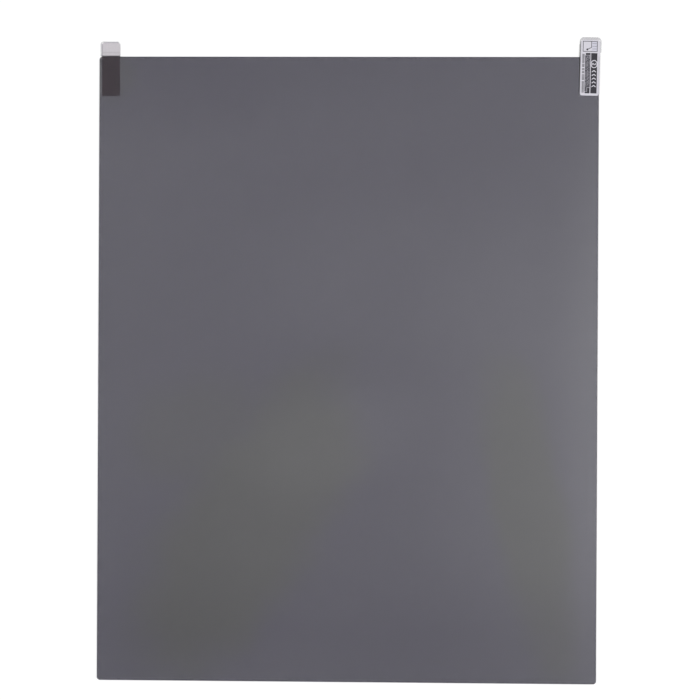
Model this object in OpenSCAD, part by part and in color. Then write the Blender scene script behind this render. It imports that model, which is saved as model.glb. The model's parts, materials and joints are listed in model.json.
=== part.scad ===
/* [Sheet] */
// Width of the filter sheet
sheet_w = 270; // [150:1:400]
// Height of the filter sheet
sheet_h = 338; // [200:1:600]
// Radius of the sheet's four corners
sheet_corner_r = 1.8; // [0.5:0.1:8]
// Thickness of the tinted film, with its adhesive coat
film_t = 0.38; // [0.15:0.01:1]
// Thickness of the clear liner that covers the adhesive at the rear
rear_liner_t = 0.075; // [0.03:0.005:0.2]
// Thickness of the clear liner that covers the front
front_liner_t = 0.05; // [0.03:0.005:0.2]
// Width of the slope where the sheet steps over the tab under it
drape_run = 1.2; // [0.5:0.1:3]

/* [Tab stock] */
// Thickness of a tab's printed label
label_t = 0.1; // [0.05:0.01:0.2]
// Thickness of the clear carrier that a label is stuck to
carrier_t = 0.05; // [0.02:0.01:0.1]
// Thickness of the ink on a label
ink_t = 0.02; // [0.01:0.005:0.05]
// Radius of a label's two corners at its free end
label_top_r = 1.6; // [0.5:0.1:3]

/* [Front tab] */
// Width of the front label
front_label_w = 10.3; // [10.2:0.1:14]
// Length of the front label
front_label_len = 30; // [29.7:0.1:45]
// Length of the front label that is stuck to the sheet
front_stuck_len = 20.8; // [10:0.1:25]
// Distance from the sheet's right edge to the label's right side, at the label's lower end
front_tab_inset = 0.05; // [0:0.05:60]
// Lean of the front tab to the right, in degrees
front_tab_lean = 1.1; // [0:0.1:5]
// Radius of the front label's two corners on the sheet
front_label_low_r = 1.2; // [0.3:0.1:3]
// How far the carrier shows along the label's left side
front_carrier_left = 0.65; // [0.1:0.05:1]
// How far the carrier shows along the label's right side
front_carrier_right = 0.25; // [0.1:0.05:1]
// How far the carrier's grip end shows past the label's left side
front_grip_left = 0.4; // [0.1:0.05:2]
// How far the carrier's grip end shows past the label's right side
front_grip_right = 0.75; // [0.15:0.05:2]
// How far the carrier's grip end shows past the label's free end
front_grip_top = 1.5; // [0.1:0.1:3]
// Length of the carrier's wider grip end
front_grip_len = 8.8; // [5:0.1:10]
// Radius of the grip end's two corners
front_grip_r = 2.2; // [0.5:0.1:3.5]

/* [Rear tab] */
// Width of the rear label
rear_label_w = 9.8; // [8:0.1:14]
// Length of the rear label
rear_label_len = 29; // [29:0.1:45]
// Length of the rear label that is stuck to the sheet
rear_stuck_len = 21.3; // [10:0.1:21.3]
// Distance from the sheet's left edge to the rear label's left side
rear_tab_inset = 1.3; // [1.3:0.1:60]
// Radius of the rear label's two corners under the sheet
rear_label_low_r = 0.4; // [0.2:0.1:3]
// How far the carrier's grip end shows past the label's left side
rear_grip_left = 0.8; // [0.1:0.05:1]
// How far the carrier's grip end shows past the label's right side
rear_grip_right = 0.15; // [0.05:0.05:1]
// How far the carrier's grip end shows past the label's free end
rear_grip_top = 0.5; // [0.4:0.1:3]
// Length of the carrier's wider grip end
rear_grip_len = 8; // [4:0.1:8]

/* [Print] */
// Width of the black bar
bar_w = 3.35; // [2.8:0.05:3.4]
// Distance from the label's right side to the black bar
bar_margin = 1.3; // [0.8:0.1:1.4]
// Lower end of the printed columns, from the label's lower end
column_low = 1.2; // [0.8:0.1:1.6]
// Upper end of the printed columns, from the label's lower end
column_high = 22.9; // [22:0.1:23.3]
// Length of the pale ring around the number
ring_len = 4.3; // [4:0.1:5]
// Width of the pale line that the ring is made of
ring_line = 0.45; // [0.3:0.05:0.6]
// Height of the ring's centre above the label's lower end
ring_at = 17; // [16.5:0.1:19]
// Width of the grey band
band_w = 2.85; // [2.75:0.05:3]
// Width of the pale gap between the band and the bar
band_gap = 0.35; // [0.2:0.05:0.4]
// Width of a printed line of the peeling picture
line_w = 0.34; // [0.15:0.01:0.4]

/* [Hidden] */
$fn = 64;

// Heights of the layers' faces above the rear face, away from the tabs
film_z = rear_liner_t;
front_liner_z = film_z + film_t;
front_z = front_liner_z + front_liner_t;

// Heights of the front tab's layers
front_label_z = front_z + carrier_t;
front_ink_z = front_label_z + label_t;

// Step that the rear tab makes in the sheet, and how far its cutter sinks past a face
tab_t = label_t + carrier_t;
sink = 0.02;

// Rear tab's place: the middle of its lower end
rear_x = -sheet_w / 2 + rear_tab_inset + rear_label_w / 2;
rear_y = sheet_h / 2 - rear_stuck_len;

// Front tab's place: the middle of its lower end
front_x = sheet_w / 2 - front_tab_inset - front_label_w / 2;
front_y = sheet_h / 2 - front_stuck_len;

// Printed columns, measured on the front label from the middle of its lower end
bar_right = front_label_w / 2 - bar_margin;
bar_left = bar_right - bar_w;
bar_mid = bar_right - bar_w / 2;
band_right = bar_left - band_gap;
band_left = band_right - band_w;

// How far the pale ring cuts past both sides of the black bar
ring_over = 0.1;
ring_w = bar_w + 2 * ring_over;

// Number in the ring: its size, the share of its height in the bowl's radius, and where the bowl ends
digit_h = 1.9;
digit_stroke = 0.36;
digit_bowl_share = 0.3;
digit_bowl_end = 45;

// Pale arrowheads in the black bar
chevron_count = 5;
chevron_first = 4.5;
chevron_pitch = 2;
chevron_w = 2.2;
chevron_rise = 0.7;
chevron_stroke = 0.55;

// Black blocks that close the grey band at both ends, and the pale gap round them
band_head = [2.5, 1.1];
band_foot = [2.6, 0.95];
band_riser = [1.4, 3];
block_gap = 0.15;
foot_left = band_left + block_gap;
riser_left = foot_left + band_foot[0] - band_riser[0];
band_low = column_low + band_foot[1] + block_gap;
band_high = column_high - band_head[1] - block_gap;

// Pale lines in the grey band: each row's place across the band, then its strokes as [start, length]
band_line_w = 0.14;
band_rows = [0.22, 0.5, 0.78];
band_strokes = [[2.6, 2.4], [5.6, 1.3], [7.4, 3.4], [11.3, 0.9], [12.8, 2.8], [16.2, 2]];
band_row_shift = 0.55;

// Small grey ticks at the left of the band: groups as [start, count]
tick_w = 1.25;
tick_h = 0.42;
tick_pitch = 0.62;
tick_gap = 0.3;
tick_left = band_left - tick_gap - tick_w;
tick_groups = [[1.6, 10], [8.4, 5], [12, 2], [13.6, 2], [15.4, 3], [17.6, 8]];

// Frame of the peeling picture
frame_size = [7.9, 5.75];
frame_low = 23.6;
frame_left = 1.1 - front_label_w / 2;

// Peeling picture, measured from the frame's lower left corner
peel_bend = [4.65, 2.35];
peel_dot = [2.45, 1.25];
dot_r = 0.5;
sheen_lines = 3;
sheen_inset = 0.5;

module rounded_outline(width, length, low_r, top_r) {
    side = width / 2;
    polygon([[-side + low_r, 0], [side - low_r, 0], [side, low_r], [side, length - top_r],
             [side - top_r, length], [-side + top_r, length], [-side, length - top_r], [-side, low_r]]);
    for (s = [-1, 1]) {
        translate([s * (side - low_r), low_r]) circle(r = low_r);
        translate([s * (side - top_r), length - top_r]) circle(r = top_r);
    }
}

// Outline of the sheet, centred on the origin
module sheet_outline() {
    translate([0, -sheet_h / 2]) rounded_outline(sheet_w, sheet_h, sheet_corner_r, sheet_corner_r);
}

// Rise in the sheet over the rear tab, its foot at the given height, open past the sheet's top edge
module tab_rise(foot_z) {
    left = rear_x - rear_label_w / 2;
    right = rear_x + rear_label_w / 2;
    past = sheet_h / 2 + drape_run;
    foot_y = rear_y - drape_run;
    translate([0, 0, foot_z])
        intersection() {
            translate([0, past, 0])
                rotate([90, 0, 0])
                    linear_extrude(past - foot_y)
                        polygon([[left - drape_run, -sink], [left - drape_run, 0], [left, tab_t],
                                 [right, tab_t], [right + drape_run, 0], [right + drape_run, -sink]]);
            translate([left - drape_run, 0, 0])
                rotate([90, 0, 90])
                    linear_extrude(rear_label_w + 2 * drape_run)
                        polygon([[foot_y, -sink], [foot_y, 0], [rear_y, tab_t],
                                 [past, tab_t], [past, -sink]]);
        }
}

// One layer of the sheet between two heights, which lies flat and steps over the rear tab
module draped_layer(low_z, thickness) {
    difference() {
        union() {
            translate([0, 0, low_z]) linear_extrude(thickness) sheet_outline();
            intersection() {
                translate([0, 0, low_z]) linear_extrude(thickness + tab_t + sink) sheet_outline();
                tab_rise(low_z + thickness);
            }
        }
        tab_rise(low_z);
    }
}

module filter_film() {
    color([0.38, 0.37, 0.4]) draped_layer(film_z, film_t);
}

module rear_liner() {
    color([0.85, 0.87, 0.9, 0.4]) draped_layer(0, rear_liner_t);
}

module front_liner() {
    color([0.85, 0.87, 0.9, 0.4]) draped_layer(front_liner_z, front_liner_t);
}

// Carrier under a whole label: a strip as long as the label, with a wider grip end past the sheet
module carrier_outline(label_w, label_len, low_r, top_r, strip_left, strip_right,
                       grip_left, grip_right, grip_top, grip_len) {
    strip_w = label_w + strip_left + strip_right;
    grip_w = label_w + grip_left + grip_right;
    translate([(strip_right - strip_left) / 2, 0])
        rounded_outline(strip_w, label_len - label_top_r, low_r, low_r);
    translate([(grip_right - grip_left) / 2, label_len + grip_top - grip_len])
        rounded_outline(grip_w, grip_len, low_r, top_r);
}

module rear_tab_place(height) {
    translate([rear_x, rear_y, height]) children();
}

module front_tab_place(height) {
    translate([front_x, front_y, height]) rotate([0, 0, -front_tab_lean]) children();
}

module rear_tab_label() {
    color([0.8, 0.78, 0.8])
        rear_tab_place(0)
            linear_extrude(label_t)
                rounded_outline(rear_label_w, rear_label_len, rear_label_low_r, label_top_r);
}

module rear_tab_carrier() {
    color([0.85, 0.83, 0.85, 0.7])
        rear_tab_place(label_t)
            linear_extrude(carrier_t)
                carrier_outline(rear_label_w, rear_label_len, rear_label_low_r, label_top_r, 0, 0,
                                rear_grip_left, rear_grip_right, rear_grip_top, rear_grip_len);
}

module front_tab_carrier() {
    color([0.8, 0.8, 0.83, 0.7])
        front_tab_place(front_z)
            linear_extrude(carrier_t)
                carrier_outline(front_label_w, front_label_len, front_label_low_r, front_grip_r,
                                front_carrier_left, front_carrier_right,
                                front_grip_left, front_grip_right, front_grip_top, front_grip_len);
}

module front_tab_label() {
    color([0.86, 0.85, 0.9])
        front_tab_place(front_label_z)
            linear_extrude(label_t)
                rounded_outline(front_label_w, front_label_len, front_label_low_r, label_top_r);
}

// Straight stroke between two points, with round ends
module stroke(from, to, width) {
    along = to - from;
    translate(from)
        rotate(atan2(along[1], along[0]))
            union() {
                translate([0, -width / 2]) square([norm(along), width]);
                circle(r = width / 2);
                translate([norm(along), 0]) circle(r = width / 2);
            }
}

// Upright oval with straight sides, centred on the origin
module oval(width, length) {
    straight = length - width;
    translate([-width / 2, -straight / 2]) square([width, straight]);
    for (s = [-1, 1])
        translate([0, s * straight / 2]) circle(r = width / 2);
}

// Plain figure two, centred on the origin
module digit_two() {
    bowl_r = digit_h * digit_bowl_share;
    bowl_y = digit_h / 2 - bowl_r;
    inner_r = bowl_r - digit_stroke;
    foot_y = -digit_h / 2;
    // The bowl is cut away left of its middle, below its left end
    difference() {
        translate([0, bowl_y]) circle(r = bowl_r);
        translate([0, bowl_y]) circle(r = inner_r);
        polygon([[-digit_h, bowl_y], [0, bowl_y], [digit_h, bowl_y - digit_h], [-digit_h, foot_y]]);
    }
    stem_x = bowl_r * cos(digit_bowl_end);
    stem_y = bowl_y - bowl_r * sin(digit_bowl_end);
    inner_x = inner_r * cos(digit_bowl_end);
    inner_y = bowl_y - inner_r * sin(digit_bowl_end);
    polygon([[stem_x, stem_y], [inner_x, inner_y], [-bowl_r, foot_y + digit_stroke],
             [-bowl_r, foot_y], [-bowl_r + digit_stroke, foot_y]]);
    translate([-bowl_r, foot_y]) square([2 * bowl_r, digit_stroke]);
}

// Arrowhead that points to the free end
module chevron() {
    half = chevron_w / 2;
    polygon([[-half, 0], [0, chevron_rise], [half, 0], [half, chevron_stroke],
             [0, chevron_rise + chevron_stroke], [-half, chevron_stroke]]);
}

module black_bar() {
    difference() {
        translate([bar_left, column_low]) square([bar_w, column_high - column_low]);
        translate([bar_mid, ring_at]) oval(ring_w, ring_len);
        for (i = [0:chevron_count - 1])
            translate([bar_mid, chevron_first + i * chevron_pitch]) chevron();
    }
    difference() {
        translate([bar_mid, ring_at]) oval(ring_w - 2 * ring_line, ring_len - 2 * ring_line);
        translate([bar_mid, ring_at]) rotate(-90) digit_two();
    }
}

module band_ends() {
    translate([band_right - band_head[0], column_high - band_head[1]]) square(band_head);
    translate([foot_left, column_low]) square(band_foot);
    translate([riser_left, column_low]) square(band_riser);
}

module front_tab_black_print() {
    color([0.22, 0.22, 0.24])
        front_tab_place(front_ink_z)
            linear_extrude(ink_t) {
                black_bar();
                band_ends();
                translate([frame_left + peel_dot[0], frame_low + peel_dot[1]]) circle(r = dot_r);
            }
}

module front_tab_grey_print() {
    color([0.42, 0.41, 0.45])
        front_tab_place(front_ink_z)
            linear_extrude(ink_t)
                difference() {
                    translate([band_left, band_low]) square([band_w, band_high - band_low]);
                    translate([riser_left - block_gap, column_low])
                        square([band_right - riser_left + block_gap + sink, band_riser[1] + block_gap]);
                    for (i = [0:len(band_rows) - 1])
                        for (s = band_strokes)
                            translate([band_left + band_rows[i] * band_w - band_line_w / 2,
                                       band_low + s[0] + i * band_row_shift])
                                square([band_line_w, s[1]]);
                }
}

module peel_picture() {
    difference() {
        square(frame_size);
        translate([line_w, line_w])
            square([frame_size[0] - 2 * line_w, frame_size[1] - 2 * line_w]);
    }
    stroke([peel_bend[0], frame_size[1] - line_w / 2], peel_bend, line_w);
    difference() {
        stroke(peel_bend, peel_dot, line_w);
        translate(peel_dot) circle(r = dot_r);
    }
    for (i = [1:sheen_lines])
        translate([peel_bend[0] + sheen_inset, i * frame_size[1] / (sheen_lines + 1)])
            square([frame_size[0] - peel_bend[0] - 2 * sheen_inset, line_w / 2]);
}

module front_tab_fine_print() {
    color([0.6, 0.6, 0.64])
        front_tab_place(front_ink_z)
            linear_extrude(ink_t) {
                translate([frame_left, frame_low]) peel_picture();
                for (g = tick_groups)
                    for (i = [0:g[1] - 1])
                        translate([tick_left, g[0] + i * tick_pitch]) square([tick_w, tick_h]);
            }
}

filter_film();
rear_liner();
front_liner();
rear_tab_label();
rear_tab_carrier();
front_tab_carrier();
front_tab_label();
front_tab_black_print();
front_tab_grey_print();
front_tab_fine_print();
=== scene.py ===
"""Dresses a tinted laptop screen filter and its two pull tabs.

The sheet lies flat with its front face up and its pull tabs towards +Y. One tab is stuck to the
front, at the right corner. The other is stuck to the rear, at the left corner, and shows dark
through the tinted film. Sizes are in millimetres, and meshes are written in metres.
"""

import json
import logging
import math
from collections.abc import Callable, Sequence
from dataclasses import dataclass
from enum import Enum
from random import Random

import bmesh
import bpy
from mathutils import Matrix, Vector

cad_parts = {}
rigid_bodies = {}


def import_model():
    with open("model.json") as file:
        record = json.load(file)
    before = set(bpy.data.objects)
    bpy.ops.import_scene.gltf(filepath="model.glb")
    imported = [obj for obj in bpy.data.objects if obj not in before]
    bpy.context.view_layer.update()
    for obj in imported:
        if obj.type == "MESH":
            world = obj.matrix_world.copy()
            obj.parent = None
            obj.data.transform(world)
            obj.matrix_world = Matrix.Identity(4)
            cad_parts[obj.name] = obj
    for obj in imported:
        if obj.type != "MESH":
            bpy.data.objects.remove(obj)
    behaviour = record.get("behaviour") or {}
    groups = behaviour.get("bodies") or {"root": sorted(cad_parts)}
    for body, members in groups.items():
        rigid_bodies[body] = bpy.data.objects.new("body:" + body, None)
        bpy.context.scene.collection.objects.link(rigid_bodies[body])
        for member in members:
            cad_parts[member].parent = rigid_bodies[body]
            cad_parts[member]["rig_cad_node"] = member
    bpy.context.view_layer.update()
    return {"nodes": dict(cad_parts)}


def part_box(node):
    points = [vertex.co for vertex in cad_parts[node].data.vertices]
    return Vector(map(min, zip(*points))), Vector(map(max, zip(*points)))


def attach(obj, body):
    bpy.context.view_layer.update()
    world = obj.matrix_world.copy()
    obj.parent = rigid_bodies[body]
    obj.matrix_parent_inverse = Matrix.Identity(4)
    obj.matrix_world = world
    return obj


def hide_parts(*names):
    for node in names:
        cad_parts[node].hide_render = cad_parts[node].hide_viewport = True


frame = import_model()

MM = 0.001
BODY = "root"
WHITE = (1.0, 1.0, 1.0)
# Straight steps in a round corner or in a soft slope
CURVE_STEPS = 8
# A length that rounding may add
TINY = 1e-9
# The least that a corner's inward move is divided by, so that a sharp corner stays near
MITRE_LIMIT = 0.3
# The average of a noise pattern
NOISE_MIDDLE = 0.5
# How a pattern's seed shifts it along X, Y and Z
SEED_SHIFT = (1.0, 0.7, 1.3)
# The Mix node's sockets for two colours and for the mixed one
MIX_FIRST = 6
MIX_SECOND = 7
MIX_RESULT = 2
# The rays that see the floor and the backdrop as plain white
BACKDROP_RAYS = ("Is Camera Ray", "Is Glossy Ray", "Is Transmission Ray")

log = logging.getLogger("screen_filter")

Point = tuple[float, float]
Span = tuple[float, float]
Triple = tuple[float, float, float]
Colour = Triple
Grid = dict[tuple[int, int], bmesh.types.BMVert]


class Slot(Enum):
    """The material slots that the record names."""

    FILM = "tinted_film"
    LINER = "clear_liner"
    LABEL = "white_label"
    CARRIER = "tab_carrier"
    BLACK_INK = "black_ink"
    GREY_INK = "grey_ink"
    FINE_INK = "fine_print_ink"


class Field:
    """A number that varies over a surface, held as one socket of a material's nodes."""

    def __init__(self, nodes: "Nodes", socket: bpy.types.NodeSocket) -> None:
        """Keeps the output that carries the number, and the tree that it is worked out in."""
        self.nodes = nodes
        self.socket = socket

    def maths(self, operation: str, *values: "float | Field") -> "Field":
        """Adds a Math node with its inputs in order, and gives its result."""
        node = self.nodes.node("ShaderNodeMath", {"operation": operation}, dict(enumerate(values)))
        return Field(self.nodes, node.outputs[0])

    def __add__(self, other: "float | Field") -> "Field":
        """Adds two numbers."""
        return self.maths("ADD", self, other)

    __radd__ = __add__

    def __mul__(self, other: "float | Field") -> "Field":
        """Multiplies two numbers."""
        return self.maths("MULTIPLY", self, other)

    __rmul__ = __mul__

    def __sub__(self, other: "float | Field") -> "Field":
        """Takes the other number from this one."""
        return self.maths("SUBTRACT", self, other)

    def __rsub__(self, other: "float | Field") -> "Field":
        """Takes this number from the other one."""
        return self.maths("SUBTRACT", other, self)

    def __truediv__(self, other: "float | Field") -> "Field":
        """Divides this number by the other one."""
        return self.maths("DIVIDE", self, other)

    def __abs__(self) -> "Field":
        """Drops the number's sign."""
        return self.maths("ABSOLUTE", self)

    def most(self, other: "float | Field") -> "Field":
        """Takes the larger of two numbers."""
        return self.maths("MAXIMUM", self, other)

    def least(self, other: "float | Field") -> "Field":
        """Takes the smaller of two numbers."""
        return self.maths("MINIMUM", self, other)

    def root(self) -> "Field":
        """Takes the square root of the number."""
        return self.maths("SQRT", self)

    def rise(self, low: float, high: float) -> "Field":
        """Turns the number into a smooth step.

        Args:
            low: The value at which the step begins, with 0.
            high: The value at which the step ends, with 1.

        Returns:
            The step, from 0 to 1.
        """
        node = self.nodes.node(
            "ShaderNodeMapRange",
            {"interpolation_type": "SMOOTHSTEP"},
            {"Value": self, "From Min": low, "From Max": high},
        )
        return Field(self.nodes, node.outputs["Result"])

    def within(self, low: float, high: float, soft: float) -> "Field":
        """Marks a stretch of the number with soft ends.

        Args:
            low: The stretch's lower end.
            high: The stretch's upper end.
            soft: The width of the soft step at each end.

        Returns:
            1 inside the stretch and 0 outside it.
        """
        half = soft / 2
        return self.rise(low - half, low + half) * (1 - self.rise(high - half, high + half))


class Nodes:
    """A node tree under construction."""

    def __init__(self, tree: bpy.types.NodeTree) -> None:
        """Empties the tree to build in."""
        self.tree = tree
        self.tree.nodes.clear()

    def node(
        self, kind: str, settings: dict[str, object], values: dict[str | int, object]
    ) -> bpy.types.Node:
        """Adds one node.

        Args:
            kind: The node's type.
            settings: The node's own settings, made before its sockets are filled.
            values: What each input holds, by the socket's name or number.

        Returns:
            The new node.
        """
        made = self.tree.nodes.new(kind)
        for key, value in settings.items():
            setattr(made, key, value)
        for key, value in values.items():
            self.feed(made.inputs[key], value)
        return made

    def feed(self, socket: bpy.types.NodeSocket, value: object) -> None:
        """Puts a number, a colour or a link into an input.

        Args:
            socket: The input.
            value: A Field or an output to link, or a constant.
        """
        if isinstance(value, Field):
            value = value.socket
        if isinstance(value, bpy.types.NodeSocket):
            self.tree.links.new(value, socket)
        elif socket.type == "RGBA":
            socket.default_value = (*value, 1.0)
        else:
            socket.default_value = value

    def rays(self, *kinds: str) -> Field:
        """Marks the rays of some kinds.

        Args:
            kinds: The names of the Light Path node's outputs.

        Returns:
            1 for a ray of any of the kinds and 0 for others.
        """
        path = self.node("ShaderNodeLightPath", {}, {})
        marks = [Field(self, path.outputs[kind]) for kind in kinds]
        found = marks[0]
        for mark in marks[1:]:
            found = found.most(mark)
        return found


@dataclass(frozen=True)
class Pattern:
    """A smooth random pattern, by the width of its patches in millimetres."""

    size: float
    detail: float = 2.0
    seed: float = 0.0
    stretch: Triple = (1.0, 1.0, 1.0)
    distortion: float = 0.0


class Paint(Nodes):
    """A material under construction, with one main shader."""

    def __init__(self, name: str) -> None:
        """Starts an empty material.

        Args:
            name: The material's name.
        """
        self.material = bpy.data.materials.new(name)
        self.material.use_nodes = True
        super().__init__(self.material.node_tree)
        self.output = self.node("ShaderNodeOutputMaterial", {}, {})
        self._place: bpy.types.NodeSocket | None = None

    def place(self) -> bpy.types.NodeSocket:
        """Gives the point on the piece, in millimetres in the part's frame."""
        if self._place is None:
            coordinates = self.node("ShaderNodeTexCoord", {}, {})
            scaled = self.node(
                "ShaderNodeVectorMath",
                {"operation": "SCALE"},
                {0: coordinates.outputs["Object"], "Scale": 1 / MM},
            )
            self._place = scaled.outputs[0]
        return self._place

    def axes(self) -> tuple[Field, Field, Field]:
        """Gives the point's X, Y and Z, in millimetres."""
        split = self.node("ShaderNodeSeparateXYZ", {}, {0: self.place()})
        return tuple(Field(self, output) for output in split.outputs)

    def noise(self, pattern: Pattern) -> Field:
        """Adds a smooth random pattern.

        Args:
            pattern: The pattern.

        Returns:
            Its value, about 0.5 on average.
        """
        scale = tuple(1 / (pattern.size * share) for share in pattern.stretch)
        shift = tuple(pattern.seed * share for share in SEED_SHIFT)
        moved = self.node(
            "ShaderNodeVectorMath", {"operation": "MULTIPLY_ADD"}, {0: self.place(), 1: scale, 2: shift}
        )
        look = {"Scale": 1.0, "Detail": pattern.detail, "Distortion": pattern.distortion}
        made = self.node("ShaderNodeTexNoise", {}, {"Vector": moved.outputs[0], **look})
        return Field(self, made.outputs[0])

    def blend(
        self,
        share: "float | Field",
        first: "Colour | bpy.types.NodeSocket",
        second: "Colour | bpy.types.NodeSocket",
    ) -> bpy.types.NodeSocket:
        """Mixes two colours.

        Args:
            share: How much of the second colour there is.
            first: A colour or an output that carries one.
            second: Another.

        Returns:
            The mixed colour.
        """
        values = {0: share, MIX_FIRST: first, MIX_SECOND: second}
        return self.node("ShaderNodeMix", {"data_type": "RGBA"}, values).outputs[MIX_RESULT]

    def tone(self, colour: "Colour | bpy.types.NodeSocket", level: Field) -> bpy.types.NodeSocket:
        """Multiplies a colour by a number."""
        made = self.node("ShaderNodeVectorMath", {"operation": "SCALE"}, {0: colour, "Scale": level})
        return made.outputs[0]

    def tinted(self, level: Field, tint: Colour, share: Field) -> bpy.types.NodeSocket:
        """Adds a tint to a grey.

        Args:
            level: The grey.
            tint: What the tint adds to each channel.
            share: How much of the tint there is.

        Returns:
            The tinted colour.
        """
        made = self.node(
            "ShaderNodeVectorMath", {"operation": "MULTIPLY_ADD"}, {0: tint, 1: share, 2: level}
        )
        return made.outputs[0]

    def relief(self, height: Field, depth: float) -> bpy.types.NodeSocket:
        """Turns a height into a shading normal.

        Args:
            height: The height, from 0 to 1.
            depth: The depth that 1 stands for, in millimetres.

        Returns:
            The normal.
        """
        made = self.node("ShaderNodeBump", {}, {"Strength": 1.0, "Distance": depth * MM, "Height": height})
        return made.outputs[0]

    def surface(self, **values: object) -> bpy.types.Material:
        """Adds the main shader and closes the material.

        Args:
            values: The shader's inputs, with underscores for the spaces in their names.

        Returns:
            The finished material.
        """
        inputs = {key.replace("_", " "): value for key, value in values.items()}
        shader = self.node("ShaderNodeBsdfPrincipled", {}, inputs)
        self.feed(self.output.inputs["Surface"], shader.outputs[0])
        return self.material


@dataclass(frozen=True)
class Patch:
    """A soft oval patch on the film: its place from the sheet's middle, its half sizes and its turn."""

    middle: Point
    half_length: float
    half_width: float
    turn_deg: float
    soft: float = 0.35
    depth: float = 1.0

    def mask(self, paint: Paint, wander: Field) -> Field:
        """Marks the patch.

        Args:
            paint: The material under construction.
            wander: A number about 0 that makes the patch's edge uneven.

        Returns:
            The patch's depth in its middle and 0 outside it.
        """
        x, y, _ = paint.axes()
        turn = math.radians(self.turn_deg)
        from_x = x - self.middle[0]
        from_y = y - self.middle[1]
        along = (from_x * math.cos(turn) + from_y * math.sin(turn)) / self.half_length
        across = (from_y * math.cos(turn) - from_x * math.sin(turn)) / self.half_width
        distance = (along * along + across * across).root() + wander
        return (1 - distance.rise(1 - self.soft, 1 + self.soft)) * self.depth


@dataclass(frozen=True)
class PaintedLight:
    """A soft oval of painted light on the film: a painted reflection where it is lighter, painted shade
    where it is darker.
    """

    patch: Patch
    change: float


@dataclass(frozen=True)
class Panel:
    """A soft-edged rectangle of another colour, between two places across and two along."""

    left: float
    right: float
    low: float
    high: float
    colour: Colour = (0.48, 0.475, 0.56)
    share: float = 0.8
    soft: float = 0.3

    def mask(self, across: Field, along: Field) -> Field:
        """Gives the panel's share inside it and 0 outside it, by the place across and along."""
        wide = across.within(self.left, self.right, self.soft)
        return wide * along.within(self.low, self.high, self.soft) * self.share


@dataclass(frozen=True)
class TintedFilm:
    """The satin see-through film, dark violet-grey with faint neutral patches, lighter and darker patches
    of painted reflection and shade, and painted shade along its edge and over the rear tab.
    """

    half_w: float
    half_h: float
    # Painted shade over the rear tab: the film is darker and warmer where the tab lies in shade under it
    shade_over_tab: Panel
    level: float = 0.0435
    drift_depth: float = 0.006
    violet: Colour = (0.004, 0.0, 0.0252)
    opacity: float = 0.655
    smooth: float = 0.31
    smear_depth: float = 0.06
    grain_depth: float = 0.04
    shine: float = 0.25
    edge_wander: float = 0.9
    # How unevenly the edges of the painted light patches run
    painted_light_wander: float = 0.4
    wander: Pattern = Pattern(38.0, detail=3.0, seed=4.0)
    drift: Pattern = Pattern(120.0, detail=1.5, seed=9.0, distortion=0.6)
    smear: Pattern = Pattern(26.0, seed=2.0, stretch=(1.0, 2.4, 1.0))
    grain: Pattern = Pattern(0.9)
    # Painted shade along the film's edge, where the floor under its rim is in shadow
    edge_shade_band: Span = (0.45, 1.0)
    edge_shade_change: float = -0.03
    # Left of the middle, right of it, and by the rear tab
    neutral: tuple[Patch, ...] = (
        Patch((-54.0, -85.0), 93.0, 37.0, 56.0, depth=0.88),
        Patch((-80.0, -33.0), 34.0, 26.0, 20.0, soft=0.5, depth=0.5),
        Patch((98.0, -72.0), 80.0, 19.0, 101.0, depth=0.85),
        Patch((-128.0, 160.0), 13.0, 13.0, 0.0, soft=0.5, depth=0.45),
    )
    # Painted light and shade: a painted reflection of the light from the right on the right side and its
    # edge, lighter patches in the middle, painted shade at the foot with a lighter rim, and painted shade
    # at the head
    painted_lights: tuple[PaintedLight, ...] = (
        PaintedLight(Patch((166.0, -34.0), 130.0, 98.0, 90.0, soft=0.6), 0.041),
        PaintedLight(Patch((136.0, -24.0), 140.0, 16.0, 90.0, soft=0.7), 0.027),
        PaintedLight(Patch((30.0, 48.0), 75.0, 40.0, 0.0, soft=0.5), 0.011),
        PaintedLight(Patch((-10.0, -38.0), 46.0, 28.0, 20.0, soft=0.5), 0.02),
        PaintedLight(Patch((-20.0, -225.0), 280.0, 96.0, 0.0, soft=0.5), -0.028),
        PaintedLight(Patch((-20.0, -174.0), 200.0, 20.0, 0.0, soft=0.8), 0.016),
        PaintedLight(Patch((-104.0, -118.0), 40.0, 60.0, 0.0, soft=0.6), -0.01),
        PaintedLight(Patch((-60.0, 206.0), 150.0, 55.0, 0.0, soft=0.5), -0.014),
        PaintedLight(Patch((-112.0, 152.0), 60.0, 24.0, 0.0, soft=0.5), -0.01),
    )

    def material(self) -> bpy.types.Material:
        """Builds the finish."""
        paint = Paint("tinted_film")
        wander = (paint.noise(self.wander) - NOISE_MIDDLE) * self.edge_wander
        neutral = self.neutral[0].mask(paint, wander)
        for patch in self.neutral[1:]:
            neutral = neutral.most(patch.mask(paint, wander))
        drift = paint.noise(self.drift)
        bend = (drift - NOISE_MIDDLE) * self.painted_light_wander
        level = self.level + drift * self.drift_depth
        # Painted reflection and shade, each in a soft oval
        for painted_light in self.painted_lights:
            level = level + painted_light.patch.mask(paint, bend) * painted_light.change
        x, y, _ = paint.axes()
        # Painted shade along the film's edge
        from_edge = (self.half_w - abs(x)).least(self.half_h - abs(y))
        level = level + (1 - from_edge.rise(*self.edge_shade_band)) * self.edge_shade_change
        smear = paint.noise(self.smear)
        grain = paint.noise(self.grain)
        colour = paint.tinted(level, self.violet, 1 - neutral)
        return paint.surface(
            # Painted shade over the rear tab
            Base_Color=paint.blend(self.shade_over_tab.mask(x, y), colour, self.shade_over_tab.colour),
            Roughness=self.smooth + smear * self.smear_depth + grain * self.grain_depth,
            Alpha=self.opacity,
            Specular_IOR_Level=self.shine,
        )


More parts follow.
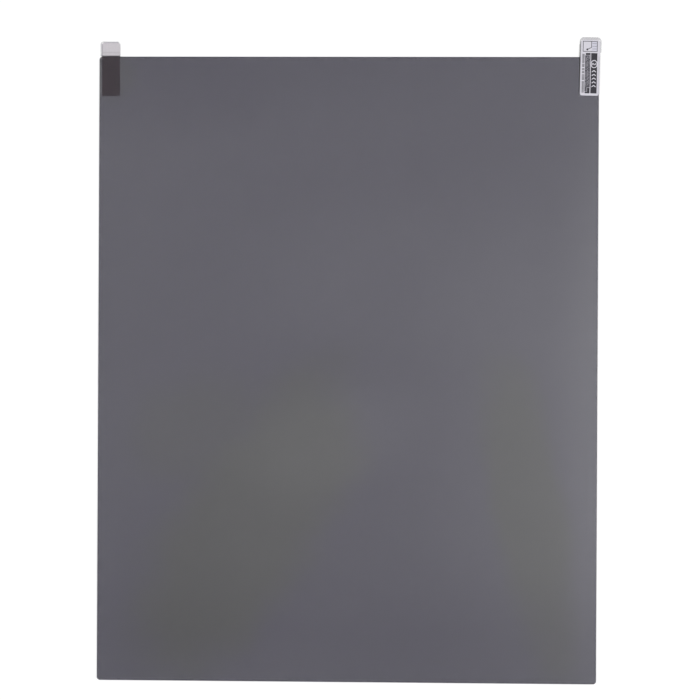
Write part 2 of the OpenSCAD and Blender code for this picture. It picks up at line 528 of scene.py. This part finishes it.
@dataclass(frozen=True)
class ClearLiner:
    """The clear gloss film that protects a face of the sheet."""

    tint: Colour = (0.27, 0.275, 0.29)
    wipe: Pattern = Pattern(7.0, detail=3.0, seed=6.0, stretch=(1.0, 9.0, 1.0))
    haze: Pattern = Pattern(45.0, seed=3.0)
    haze_low: float = 0.94
    haze_depth: float = 0.12
    opacity: float = 0.03
    smooth: float = 0.16
    wipe_depth: float = 0.1
    wipe_relief: float = 0.003

    def material(self) -> bpy.types.Material:
        """Builds the finish."""
        paint = Paint("clear_liner")
        wipe = paint.noise(self.wipe)
        haze = paint.noise(self.haze)
        return paint.surface(
            Base_Color=paint.tone(self.tint, self.haze_low + haze * self.haze_depth),
            Roughness=self.smooth + wipe * self.wipe_depth,
            Alpha=self.opacity,
            Normal=paint.relief(wipe, self.wipe_relief),
        )


@dataclass(frozen=True)
class TabFrame:
    """The place of a tab: the middle of its lower end, and its lean to the right."""

    x: float
    y: float
    lean_deg: float = 0.0

    def point(self, across: float, along: float) -> Point:
        """Turns a point on the tab into one in the part's frame.

        Args:
            across: Distance to the right of the tab's middle line.
            along: Distance from the tab's lower end.

        Returns:
            The point, in millimetres.
        """
        lean = math.radians(self.lean_deg)
        return (
            self.x + across * math.cos(lean) + along * math.sin(lean),
            self.y - across * math.sin(lean) + along * math.cos(lean),
        )

    def axes(self, paint: Paint) -> tuple[Field, Field]:
        """Gives the distances across and along the tab.

        Args:
            paint: The material under construction.

        Returns:
            The distance to the right of the tab's middle line, and the one from its lower end.
        """
        x, y, _ = paint.axes()
        lean = math.radians(self.lean_deg)
        from_x = x - self.x
        from_y = y - self.y
        across = from_x * math.cos(lean) - from_y * math.sin(lean)
        along = from_x * math.sin(lean) + from_y * math.cos(lean)
        return across, along


@dataclass(frozen=True)
class Margin:
    """A darker strip along one side of a label: a dark cut edge with painted shade."""

    width: float
    share: float
    soft: float = 0.25

    def mask(self, distance: Field) -> Field:
        """Gives the strip's share inside it and 0 past it, by the distance from the label's side."""
        half = self.soft / 2
        return (1 - distance.rise(self.width - half, self.width + half)) * self.share


@dataclass(frozen=True)
class LabelStock:
    """Satin white label film, faintly lilac, with dark cut edges and painted shade along its sides."""

    name: str
    frame: TabFrame
    width: float
    length: float
    stuck_len: float
    white: Colour = (0.53, 0.515, 0.57)
    # Dark cut edges with painted shade along them
    edge: Colour = (0.26, 0.25, 0.29)
    left: Margin = Margin(width=0.15, share=0.7)
    right: Margin | None = None
    top: Margin | None = None
    panels: tuple[Panel, ...] = ()
    fade_len: float = 1.0
    mottle: Pattern = Pattern(1.1, detail=3.0, seed=5.0)
    mottle_low: float = 0.95
    mottle_depth: float = 0.1
    smooth: float = 0.42
    grain_depth: float = 0.12
    grain_relief: float = 0.006

    def material(self) -> bpy.types.Material:
        """Builds the finish."""
        paint = Paint(self.name)
        across, along = self.frame.axes(paint)
        mottle = paint.noise(self.mottle)
        colour = paint.tone(self.white, self.mottle_low + mottle * self.mottle_depth)
        for panel in self.panels:
            colour = paint.blend(panel.mask(across, along), colour, panel.colour)
        # Dark cut edges with painted shade; on the right only where the label lies on the sheet
        rim = self.left.mask(across + self.width / 2)
        if self.right is not None:
            on_sheet = 1 - along.rise(self.stuck_len, self.stuck_len + self.fade_len)
            rim = rim.most(self.right.mask(self.width / 2 - across) * on_sheet)
        if self.top is not None:
            rim = rim.most(self.top.mask(self.length - along))
        return paint.surface(
            Base_Color=paint.blend(rim, colour, self.edge),
            Roughness=self.smooth + mottle * self.grain_depth,
            Normal=paint.relief(mottle, self.grain_relief),
        )


@dataclass(frozen=True)
class EdgeAndShadow:
    """The carrier's dark left edge, with a painted shadow of the tab along it over the tinted film."""

    thin: float = 0.25
    thick: float = 0.62
    bare: float = 0.42
    # The painted shadow deepens from here towards the sheet's top edge
    thick_from: Span = (11.0, 17.0)
    sheet_end: Span = (20.8, 21.8)
    # Near black, for the dark edge and the painted shadow
    colour: Colour = (0.012, 0.012, 0.014)

    def opacity(self, along: Field) -> Field:
        """Gives the opacity of the dark edge and its painted shadow.

        Args:
            along: The distance from the label's lower end.

        Returns:
            Thin at the lower end, thick at the sheet's top edge and bare past it.
        """
        on_sheet = self.thin + along.rise(*self.thick_from) * (self.thick - self.thin)
        return on_sheet + along.rise(*self.sheet_end) * (self.bare - self.thick)


@dataclass(frozen=True)
class ShadeLine:
    """A line of painted shade across the carrier."""

    low: float
    high: float
    opacity: float
    soft: float = 0.25

    def mask(self, along: Field) -> Field:
        """Gives 1 on the line and 0 away from it, by the distance from the label's lower end."""
        return along.within(self.low, self.high, self.soft)


@dataclass(frozen=True)
class CarrierFilm:
    """The clear film under a label, frosted where it shows past the label."""

    name: str
    frame: TabFrame
    label_w: float
    label_len: float
    frost: Colour = (0.42, 0.41, 0.44)
    rim_opacity: float = 0.37
    clear_opacity: float = 0.06
    soft: float = 0.2
    edge_and_shadow: EdgeAndShadow | None = None
    # Lines of painted shade across the carrier
    shade_lines: tuple[ShadeLine, ...] = ()
    shade_line_colour: Colour = (0.012, 0.012, 0.014)
    speckle: Pattern = Pattern(0.7, detail=3.0, seed=7.0)
    speckle_low: float = 0.96
    speckle_depth: float = 0.08
    smooth: float = 0.38
    grain_depth: float = 0.15
    grain_relief: float = 0.006
    shine: float = 0.3

    def material(self) -> bpy.types.Material:
        """Builds the finish."""
        paint = Paint(self.name)
        across, along = self.frame.axes(paint)
        half = self.label_w / 2
        half_soft = self.soft / 2
        speckle = paint.noise(self.speckle)
        colour = paint.tone(self.frost, self.speckle_low + speckle * self.speckle_depth)
        past_end = along.rise(self.label_len - half_soft, self.label_len + half_soft)
        on_label = across.within(-half, half, self.soft) * (1 - past_end)
        opacity = self.rim_opacity + on_label * (self.clear_opacity - self.rim_opacity)
        # The dark left edge and the tab's painted shadow along it
        if self.edge_and_shadow is not None:
            side = 1 - across.rise(-half - half_soft, -half + half_soft)
            opacity = opacity + side * (self.edge_and_shadow.opacity(along) - opacity)
            colour = paint.blend(side, colour, self.edge_and_shadow.colour)
        # Lines of painted shade across the carrier
        for shade_line in self.shade_lines:
            line = shade_line.mask(along)
            colour = paint.blend(line, colour, self.shade_line_colour)
            opacity = opacity + line * (shade_line.opacity - opacity)
        return paint.surface(
            Base_Color=colour,
            Roughness=self.smooth + speckle * self.grain_depth,
            Alpha=opacity,
            Specular_IOR_Level=self.shine,
            Normal=paint.relief(speckle, self.grain_relief),
        )


@dataclass(frozen=True)
class Ink:
    """Printing ink, a little uneven where the label's surface shows through it."""

    name: str
    colour: Colour
    thin_colour: Colour
    thin_share: float = 0.5
    thin_range: Span = (0.52, 0.75)
    speckle: Pattern = Pattern(0.25, detail=3.0, seed=8.0)
    smooth: float = 0.4
    grain_depth: float = 0.15
    grain_relief: float = 0.004
    shine: float = 0.25

    def material(self) -> bpy.types.Material:
        """Builds the finish."""
        paint = Paint(self.name)
        speckle = paint.noise(self.speckle)
        worn = speckle.rise(*self.thin_range) * self.thin_share
        return paint.surface(
            Base_Color=paint.blend(worn, self.colour, self.thin_colour),
            Roughness=self.smooth + speckle * self.grain_depth,
            Specular_IOR_Level=self.shine,
            Normal=paint.relief(speckle, self.grain_relief),
        )


def node_box(node: str) -> tuple[Vector, Vector]:
    """Gives the lowest and highest corners of a CAD node's box, in millimetres."""
    low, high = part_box(node)
    return low / MM, high / MM


def solid(name: str, build: Callable[[bmesh.types.BMesh], None]) -> bpy.types.Object:
    """Makes a mesh object from a building function.

    Args:
        name: The object's name.
        build: The function that fills the mesh, in millimetres.

    Returns:
        The object, in metres.
    """
    made = bmesh.new()
    build(made)
    bmesh.ops.recalc_face_normals(made, faces=made.faces[:])
    for vertex in made.verts:
        vertex.co *= MM
    mesh = bpy.data.meshes.new(name)
    made.to_mesh(mesh)
    made.free()
    piece = bpy.data.objects.new(name, mesh)
    bpy.context.scene.collection.objects.link(piece)
    return piece


def finish_piece(
    piece: bpy.types.Object, material: bpy.types.Material, slot: Slot, *replaced: str
) -> None:
    """Dresses a piece and fixes it to the part, which a CAD node is already.

    Args:
        piece: The piece.
        material: Its finish.
        slot: The record's slot that the finish belongs to.
        replaced: The CAD nodes that the piece stands for.
    """
    piece.data.materials.clear()
    piece.data.materials.append(material)
    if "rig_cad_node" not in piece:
        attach(piece, BODY)
    if replaced:
        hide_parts(*replaced)
    log.info("%s: %d faces, slot %s", piece.name, len(piece.data.polygons), slot.value)


def arc(centre: Point, radius: float, start_deg: float, sweep_deg: float = 90.0) -> list[Point]:
    """Gives a stretch of a circle, counterclockwise.

    Args:
        centre: The circle's centre.
        radius: Its radius.
        start_deg: The direction of the first point.
        sweep_deg: How far round the stretch goes.

    Returns:
        The points.
    """
    shares = (i / CURVE_STEPS for i in range(CURVE_STEPS + 1))
    angles = (math.radians(start_deg + sweep_deg * share) for share in shares)
    return [(centre[0] + radius * math.cos(a), centre[1] + radius * math.sin(a)) for a in angles]


def corner_sweep(reach: float, radius: float) -> float:
    """Gives how much of a round corner shows where it stands past a straight side.

    Args:
        reach: How far the corner stands past the side.
        radius: The corner's radius.

    Returns:
        The angle from the outermost point to the side, in degrees.
    """
    return math.degrees(math.acos(max(1 - reach / radius, 0.0)))


def inset(outline: Sequence[Point], distance: float) -> list[Point]:
    """Moves a counterclockwise outline inwards.

    Args:
        outline: The outline's points.
        distance: How far each side moves.

    Returns:
        The smaller outline, point for point.
    """
    moved = []
    count = len(outline)
    for i, point in enumerate(outline):
        here = Vector(point)
        before = (here - Vector(outline[i - 1])).normalized()
        after = (Vector(outline[(i + 1) % count]) - here).normalized()
        inward = Vector((-before.y - after.y, before.x + after.x))
        scale = max(inward.length_squared / 2, MITRE_LIMIT)
        moved.append(tuple(here + inward * (distance / scale)))
    return moved


def add_walls(made: bmesh.types.BMesh, rings: Sequence[Sequence[bmesh.types.BMVert]]) -> None:
    """Joins each ring of corners to the next by a band of faces.

    Args:
        made: The mesh that the faces go into.
        rings: The rings, from the lowest to the highest, with as many corners each.
    """
    for lower, upper in zip(rings, rings[1:]):
        for i in range(len(lower)):
            made.faces.new((lower[i - 1], lower[i], upper[i], upper[i - 1]))


def add_slab(
    made: bmesh.types.BMesh, outline: Sequence[Point], low: float, high: float, bevel: float
) -> None:
    """Adds a flat plate with softened edges.

    Args:
        made: The mesh that the plate goes into.
        outline: The plate's counterclockwise outline.
        low: The height of its lower face.
        high: The height of its upper face.
        bevel: The width of the softened edge.
    """
    inner = inset(outline, bevel)
    rings = []
    for ring, height in ((inner, low), (outline, low + bevel), (outline, high - bevel), (inner, high)):
        rings.append([made.verts.new((x, y, height)) for x, y in ring])
    add_walls(made, rings)
    made.faces.new(list(reversed(rings[0])))
    made.faces.new(rings[-1])


@dataclass
class SheetShape:
    """The sheet's outline and the footprint of the tab that it lies over."""

    half_w: float
    half_h: float
    corner_r: float
    tab_left: float
    tab_right: float
    tab_low: float
    tab_t: float
    run: float = 1.2
    inner_lines: int = 8
    line_gap: float = 0.04

    def lift(self, x: float, y: float) -> float:
        """Gives the sheet's rise over the rear tab.

        Args:
            x: Distance to the right of the sheet's middle.
            y: Distance above it.

        Returns:
            The rise, in a soft slope round the tab.
        """
        outside = max(self.tab_left - x, x - self.tab_right, self.tab_low - y, 0.0)
        share = min(outside / self.run, 1.0)
        return self.tab_t * (1 - share * share * (3 - 2 * share))

    def lines(self, half: float, steps_at: Sequence[Span]) -> list[float]:
        """Gives the places of the mesh's lines along one axis.

        Args:
            half: Half of the sheet's size along it.
            steps_at: The stretches that need close lines.

        Returns:
            The places, in order.
        """
        shares = [i / CURVE_STEPS for i in range(CURVE_STEPS + 1)]
        places = [-half + self.corner_r * share for share in shares]
        places += [-place for place in places]
        for start, end in steps_at:
            places += [start + (end - start) * share for share in shares]
        inner_step = (half - self.corner_r) / self.inner_lines
        places += [inner_step * i for i in range(1 - self.inner_lines, self.inner_lines)]
        places = sorted(place for place in places if abs(place) <= half + TINY)
        kept = places[:1]
        for place in places[1:]:
            if place - kept[-1] > self.line_gap:
                kept.append(place)
        kept[-1] = half
        return kept

    def grid_lines(self) -> tuple[list[float], list[float]]:
        """Gives the places of the mesh's lines along X and along Y."""
        left_slope = (self.tab_left - self.run, self.tab_left)
        right_slope = (self.tab_right, self.tab_right + self.run)
        low_slope = (self.tab_low - self.run, self.tab_low)
        return self.lines(self.half_w, (left_slope, right_slope)), self.lines(self.half_h, (low_slope,))

    def rounded(self, x: float, y: float, shrink: float) -> Point:
        """Moves a point of the square mesh onto the outline's rounded shape.

        Args:
            x: The point's place across.
            y: The point's place along.
            shrink: How far the outline is moved inwards.

        Returns:
            The moved point.
        """
        corner = self.corner_r
        from_x = (abs(x) - (self.half_w - corner)) / corner
        from_y = (abs(y) - (self.half_h - corner)) / corner
        in_x = max(from_x, 0.0)
        in_y = max(from_y, 0.0)
        scale = corner - shrink
        if in_x and in_y:
            in_x, in_y = in_x * math.sqrt(1 - in_y**2 / 2), in_y * math.sqrt(1 - in_x**2 / 2)
        new_x = self.half_w - corner + in_x * scale if from_x > 0 else abs(x)
        new_y = self.half_h - corner + in_y * scale if from_y > 0 else abs(y)
        return math.copysign(new_x, x), math.copysign(new_y, y)


@dataclass
class SheetLayer:
    """One film of the sheet, as a closed thin solid with softened edges."""

    name: str
    node: str
    slot: Slot
    gap: float
    bevel: float

    def add_face(
        self,
        made: bmesh.types.BMesh,
        shape: SheetShape,
        lines: tuple[list[float], list[float]],
        height: float,
    ) -> Grid:
        """Adds one of the film's two faces as a grid.

        Args:
            made: The mesh that the face goes into.
            shape: The sheet's outline and its rise over the tab.
            lines: The places of the grid's lines along X and along Y.
            height: The face's height where the sheet lies flat.

        Returns:
            The grid's corners, by their numbers along X and along Y.
        """
        grid = {}
        for i, x in enumerate(lines[0]):
            for j, y in enumerate(lines[1]):
                px, py = shape.rounded(x, y, self.bevel)
                grid[i, j] = made.verts.new((px, py, height + shape.lift(px, py)))
        for i in range(len(lines[0]) - 1):
            for j in range(len(lines[1]) - 1):
                made.faces.new((grid[i, j], grid[i + 1, j], grid[i + 1, j + 1], grid[i, j + 1]))
        return grid

    def add_ring(
        self, made: bmesh.types.BMesh, shape: SheetShape, side: Sequence[Point], height: float
    ) -> list[bmesh.types.BMVert]:
        """Adds a ring of corners round the film's rim.

        Args:
            made: The mesh that the corners go into.
            shape: The sheet's outline and its rise over the tab.
            side: The ring's places before the outline is rounded.
            height: The ring's height where the sheet lies flat.

        Returns:
            The corners, in order.
        """
        outline = [shape.rounded(x, y, 0.0) for x, y in side]
        return [made.verts.new((x, y, height + shape.lift(x, y))) for x, y in outline]

    def build(self, shape: SheetShape) -> bpy.types.Object:
        """Builds the film in the place of its CAD node.

        Args:
            shape: The sheet's outline and its rise over the tab.

        Returns:
            The film's object.
        """
        low, high = node_box(self.node)
        rear_z = low.z + self.gap
        front_z = high.z - shape.tab_t - self.gap
        xs, ys = shape.grid_lines()
        last_x = len(xs) - 1
        last_y = len(ys) - 1
        border = [(i, 0) for i in range(last_x)] + [(last_x, j) for j in range(last_y)]
        border += [(i, last_y) for i in range(last_x, 0, -1)] + [(0, j) for j in range(last_y, 0, -1)]
        side = [(xs[i], ys[j]) for i, j in border]

        def fill(made: bmesh.types.BMesh) -> None:
            """Fills the film's two faces and its rim."""
            rear = self.add_face(made, shape, (xs, ys), rear_z)
            front = self.add_face(made, shape, (xs, ys), front_z)
            lower = self.add_ring(made, shape, side, rear_z + self.bevel)
            upper = self.add_ring(made, shape, side, front_z - self.bevel)
            add_walls(made, [[rear[key] for key in border], lower, upper, [front[key] for key in border]])

        return solid(self.name, fill)


@dataclass
class FilterSheet:
    """The tinted film between its two clear liners, with a hair's gap between their faces."""

    corner_r: float = 1.8
    gap: float = 0.012
    rear_bevel: float = 0.012
    film_bevel: float = 0.036
    front_bevel: float = 0.006
    # The colour of the painted shade over the rear tab
    shade_over_tab: Colour = (0.0265, 0.0157, 0.0235)

    def shape(self) -> SheetShape:
        """Reads the sheet's outline and the rear tab's footprint from the frame."""
        low, high = node_box("filter_film")
        label_low, label_high = node_box("rear_tab_label")
        return SheetShape(
            half_w=(high.x - low.x) / 2,
            half_h=(high.y - low.y) / 2,
            corner_r=self.corner_r,
            tab_left=label_low.x,
            tab_right=label_high.x,
            tab_low=label_low.y,
            tab_t=node_box("rear_tab_carrier")[1].z,
        )

    def layers(self) -> list[SheetLayer]:
        """Gives the three films, from the rear to the front."""
        return [
            SheetLayer("rear_liner_sheet", "rear_liner", Slot.LINER, self.gap, self.rear_bevel),
            SheetLayer("tinted_film_sheet", "filter_film", Slot.FILM, 0.0, self.film_bevel),
            SheetLayer("front_liner_sheet", "front_liner", Slot.LINER, self.gap, self.front_bevel),
        ]

    def build(self) -> None:
        """Builds and dresses the three films."""
        shape = self.shape()
        past_top = shape.half_h + shape.run
        # Painted shade over the rear tab, up past the sheet's top edge
        shade_over_tab = Panel(shape.tab_left, shape.tab_right, shape.tab_low, past_top, self.shade_over_tab, share=1.0)
        film = TintedFilm(shape.half_w, shape.half_h, shade_over_tab)
        finishes = {Slot.FILM: film.material(), Slot.LINER: ClearLiner().material()}
        for layer in self.layers():
            finish_piece(layer.build(shape), finishes[layer.slot], layer.slot, layer.node)


@dataclass
class PullTab:
    """A pull tab: its label and the carrier film under it."""

    side: str
    frame: TabFrame
    label_w: float
    label_len: float
    stuck_len: float
    low_r: float
    top_r: float
    grip_left: float
    grip_right: float
    grip_top: float
    grip_len: float
    strip_left: float = 0.0
    strip_right: float = 0.0
    gap: float = 0.012
    bevel: float = 0.008
    strip_short: float = 1.6

    def carrier_outline(self) -> list[Point]:
        """Gives the carrier's outline in the part's frame, with its wider grip end."""
        half = self.label_w / 2
        left = -half - self.strip_left
        right = half + self.strip_right
        grip_left = -half - self.grip_left
        grip_right = half + self.grip_right
        top = self.label_len + self.grip_top
        step = top - self.grip_len
        strip_top = self.label_len - self.strip_short
        low_r = self.low_r
        top_r = self.top_r
        sweep = corner_sweep(grip_right - right, low_r)
        points = arc((right - low_r, low_r), low_r, 270)
        points += arc((grip_right - low_r, step + low_r), low_r, 360 - sweep, sweep)
        points += arc((grip_right - top_r, top - top_r), top_r, 0)
        points += arc((grip_left + top_r, top - top_r), top_r, 90)
        if grip_left < left:
            sweep = corner_sweep(left - grip_left, low_r)
            points += arc((grip_left + low_r, step + low_r), low_r, 180, sweep)
            points.append((left, step))
        else:
            sweep = corner_sweep(grip_left - left, low_r)
            points += arc((left + low_r, strip_top - low_r), low_r, 180 - sweep, sweep)
        points += arc((left + low_r, low_r), low_r, 180)
        return [self.frame.point(*point) for point in points]

    def build_carrier(self) -> bpy.types.Object:
        """Builds the carrier in the place of its CAD node."""
        low, high = node_box(f"{self.side}_tab_carrier")
        outline = self.carrier_outline()

        def fill(made: bmesh.types.BMesh) -> None:
            """Fills the carrier's plate."""
            add_slab(made, outline, low.z + self.gap / 2, high.z - self.gap, self.bevel)

        return solid(f"{self.side}_carrier_film", fill)

    def build(self, carrier: CarrierFilm, label: LabelStock) -> None:
        """Builds the carrier and dresses the label, each with its finish."""
        finish_piece(self.build_carrier(), carrier.material(), Slot.CARRIER, f"{self.side}_tab_carrier")
        finish_piece(frame["nodes"][f"{self.side}_tab_label"], label.material(), Slot.LABEL)


@dataclass
class FineMarks:
    """Rows of tiny marks that read as unreadable small print from a step away."""

    name: str
    frame: TabFrame
    across: Span
    along: Span
    rows: int
    mark_len: Span
    mark_w: Span
    base: float
    seed: int
    space: float = 1.0
    space_range: Span = (0.6, 1.8)
    stray: float = 0.25
    thickness: float = 0.004
    bevel: float = 0.001

    def build(self) -> bpy.types.Object:
        """Builds the marks as thin plates."""
        draw = Random(self.seed)
        left, right = self.across
        low, high = self.along
        pitch = (right - left) / self.rows

        def fill(made: bmesh.types.BMesh) -> None:
            """Fills the rows with marks of uneven length."""
            for row in range(self.rows):
                middle = left + (row + 0.5) * pitch
                at = low + draw.uniform(0.0, self.space)
                while at < high - self.mark_len[1]:
                    length = draw.uniform(*self.mark_len)
                    width = draw.uniform(*self.mark_w)
                    shift = draw.uniform(-self.stray, self.stray) * (pitch - width)
                    start = middle + shift - width / 2
                    end = start + width
                    corners = ((start, at), (end, at), (end, at + length), (start, at + length))
                    outline = [self.frame.point(*corner) for corner in corners]
                    add_slab(made, outline, self.base, self.base + self.thickness, self.bevel)
                    at += length + self.space * draw.uniform(*self.space_range)

        return solid(self.name, fill)


@dataclass
class TabPair:
    """Both pull tabs and the front tab's print."""

    front_label_w: float = 10.3
    front_label_len: float = 30.0
    front_inset: float = 0.05
    front_stuck: float = 20.8
    front_lean_deg: float = 1.1
    rear_label_w: float = 9.8
    rear_label_len: float = 29.0
    rear_inset: float = 1.3
    rear_stuck: float = 21.3
    band: Span = (-2.6, 0.05)
    band_ends: Span = (4.6, 21.6)
    mark_lift: float = 0.002
    black: Ink = Ink("black_ink", colour=(0.02, 0.0185, 0.025), thin_colour=(0.06, 0.058, 0.068))
    grey: Ink = Ink("grey_ink", colour=(0.068, 0.065, 0.08), thin_colour=(0.125, 0.12, 0.142))
    fine: Ink = Ink("fine_print_ink", colour=(0.075, 0.073, 0.084), thin_colour=(0.15, 0.147, 0.165))

    def front(self) -> PullTab:
        """Gives the tab on the front, at the right corner."""
        top_right = node_box("filter_film")[1]
        x = top_right.x - self.front_inset - self.front_label_w / 2
        return PullTab(
            side="front",
            frame=TabFrame(x, top_right.y - self.front_stuck, self.front_lean_deg),
            label_w=self.front_label_w,
            label_len=self.front_label_len,
            stuck_len=self.front_stuck,
            low_r=1.2,
            top_r=2.2,
            strip_left=0.65,
            strip_right=0.25,
            grip_left=0.4,
            grip_right=0.75,
            grip_top=1.5,
            grip_len=8.8,
        )

    def rear(self) -> PullTab:
        """Gives the tab on the rear, at the left corner."""
        low, high = node_box("filter_film")
        x = low.x + self.rear_inset + self.rear_label_w / 2
        return PullTab(
            side="rear",
            frame=TabFrame(x, high.y - self.rear_stuck),
            label_w=self.rear_label_w,
            label_len=self.rear_label_len,
            stuck_len=self.rear_stuck,
            low_r=0.4,
            top_r=1.6,
            grip_left=0.8,
            grip_right=0.15,
            grip_top=0.5,
            grip_len=8.0,
        )

    def build_print(self, front: PullTab) -> None:
        """Dresses the printed fields and adds the smallest marks.

        Args:
            front: The tab that carries the print.
        """
        black = self.black.material()
        fine = self.fine.material()
        nodes = frame["nodes"]
        finish_piece(nodes["front_tab_black_print"], black, Slot.BLACK_INK)
        finish_piece(nodes["front_tab_grey_print"], self.grey.material(), Slot.GREY_INK)
        finish_piece(nodes["front_tab_fine_print"], fine, Slot.FINE_INK)
        ink_top = node_box("front_tab_grey_print")[1].z
        dark = FineMarks(
            "band_dark_marks", front.frame, self.band, self.band_ends,
            rows=4, mark_len=(0.3, 0.9), mark_w=(0.2, 0.36), base=ink_top, seed=11,
        )
        dark_top = ink_top + dark.thickness
        pale = FineMarks(
            "band_pale_marks", front.frame, self.band, self.band_ends,
            rows=5, mark_len=(0.15, 0.45), mark_w=(0.08, 0.14), base=dark_top + self.mark_lift, seed=5,
        )
        finish_piece(dark.build(), black, Slot.BLACK_INK)
        finish_piece(pale.build(), fine, Slot.FINE_INK)

    def build(self) -> None:
        """Builds both tabs."""
        front = self.front()
        rear = self.rear()
        front.build(
            # A dark left edge with a painted shadow of the tab along it
            CarrierFilm("front_carrier", front.frame, front.label_w, front.label_len, edge_and_shadow=EdgeAndShadow()),
            LabelStock(
                "front_label", front.frame, front.label_w, front.label_len, front.stuck_len,
                # Painted shade along the right side, where the label lies over the sheet's edge
                right=Margin(width=0.9, share=0.3, soft=0.5),
                panels=(Panel(left=0.7, right=3.8, low=23.8, high=29.2),),
            ),
        )
        rear.build(
            CarrierFilm(
                "rear_carrier", rear.frame, rear.label_w, rear.label_len,
                # Painted shade in a fold of the tab, then the painted shadow that the sheet's top edge
                # casts on it
                shade_lines=(
                    ShadeLine(low=23.3, high=23.7, opacity=0.1),
                    ShadeLine(low=21.2, high=21.9, opacity=0.4),
                ),
            ),
            LabelStock(
                "rear_label", rear.frame, rear.label_w, rear.label_len, rear.stuck_len,
                white=(0.545, 0.515, 0.545),
                # Dark cut edges with painted shade along the left and top sides
                left=Margin(width=0.4, share=0.7),
                top=Margin(width=0.3, share=0.7),
            ),
        )
        self.build_print(front)


@dataclass(frozen=True)
class Softbox:
    """A soft rectangular lamp: its place and size in metres, and its power in watts."""

    name: str
    place: Triple
    size: Point
    power: float

    def hang(self) -> None:
        """Hangs the lamp and points it at the sheet's middle."""
        lamp = bpy.data.lights.new(self.name, "AREA")
        lamp.shape = "RECTANGLE"
        lamp.size, lamp.size_y = self.size
        lamp.energy = self.power
        holder = bpy.data.objects.new(self.name, lamp)
        holder.location = self.place
        holder.rotation_euler = (-Vector(self.place)).to_track_quat("-Z", "Y").to_euler()
        bpy.context.scene.collection.objects.link(holder)


@dataclass
class Studio:
    """The pale floor, the soft light and the camera, which is placed in metres and radians."""

    floor_half: float = 4000.0
    floor_drop: float = 0.3
    floor_grey: float = 0.5
    floor_pattern: Pattern = Pattern(300.0)
    floor_mottle: float = 0.01
    far_floor: Span = (600.0, 1800.0)
    ambient: float = 0.44
    lens_mm: float = 95.0
    sensor_mm: float = 36.0
    clip_start: float = 0.01
    camera_at: Triple = (0.0264, 0.0120, 0.9985)
    camera_turn: Triple = (-0.00132, 0.02489, 0.0048)
    softboxes: tuple[Softbox, ...] = (
        Softbox("right_softbox", place=(0.9, 0.0, 1.2), size=(0.7, 0.9), power=14.0),
        Softbox("left_softbox", place=(-1.1, 0.3, 1.3), size=(0.9, 0.9), power=11.0),
    )

    def build_floor(self) -> None:
        """Lays the floor, which looks white, keeps half of each shadow and glows evenly far off."""
        paint = Paint("pale_floor")
        x, y, _ = paint.axes()
        far = (x * x + y * y).root().rise(*self.far_floor)
        seen = paint.rays(*BACKDROP_RAYS)
        mottle = paint.noise(self.floor_pattern) * self.floor_mottle
        paint.surface(
            Base_Color=(mottle + self.floor_grey) * (1 - far),
            Roughness=1.0,
            Specular_IOR_Level=0.0,
            Emission_Color=seen * (1 - self.floor_grey * (1 - far)),
            Emission_Strength=1.0,
        )
        half = self.floor_half
        corners = ((-half, -half), (half, -half), (half, half), (-half, half))

        def fill(made: bmesh.types.BMesh) -> None:
            """Fills the floor's single face."""
            made.faces.new([made.verts.new((*corner, -self.floor_drop)) for corner in corners])

        floor = solid("floor", fill)
        floor.data.materials.append(paint.material)

    def build_world(self) -> None:
        """Sets the even light from all round, and white where the camera sees past the floor."""
        world = bpy.data.worlds.new("studio")
        world.use_nodes = True
        nodes = Nodes(world.node_tree)
        seen = nodes.rays(*BACKDROP_RAYS)
        lights = [
            nodes.node("ShaderNodeBackground", {}, {"Color": WHITE, "Strength": strength}).outputs[0]
            for strength in (self.ambient, 1.0)
        ]
        mixed = nodes.node("ShaderNodeMixShader", {}, {0: seen, 1: lights[0], 2: lights[1]})
        nodes.node("ShaderNodeOutputWorld", {}, {"Surface": mixed.outputs[0]})
        bpy.context.scene.world = world

    def build_camera(self) -> None:
        """Places the camera over the sheet, nearly straight above it."""
        lens = bpy.data.cameras.new("camera")
        lens.lens = self.lens_mm
        lens.sensor_width = self.sensor_mm
        lens.clip_start = self.clip_start
        holder = bpy.data.objects.new("camera", lens)
        holder.location = self.camera_at
        holder.rotation_euler = self.camera_turn
        bpy.context.scene.collection.objects.link(holder)
        bpy.context.scene.camera = holder

    def build(self) -> None:
        """Sets up the whole studio."""
        self.build_floor()
        self.build_world()
        for softbox in self.softboxes:
            softbox.hang()
        self.build_camera()
        bpy.context.scene.view_settings.view_transform = "Standard"


def main() -> None:
    """Builds the sheet, its tabs and the studio."""
    logging.basicConfig(level=logging.INFO, format="%(name)s: %(message)s")
    FilterSheet().build()
    TabPair().build()
    Studio().build()


if __name__ == "__main__":
    main()
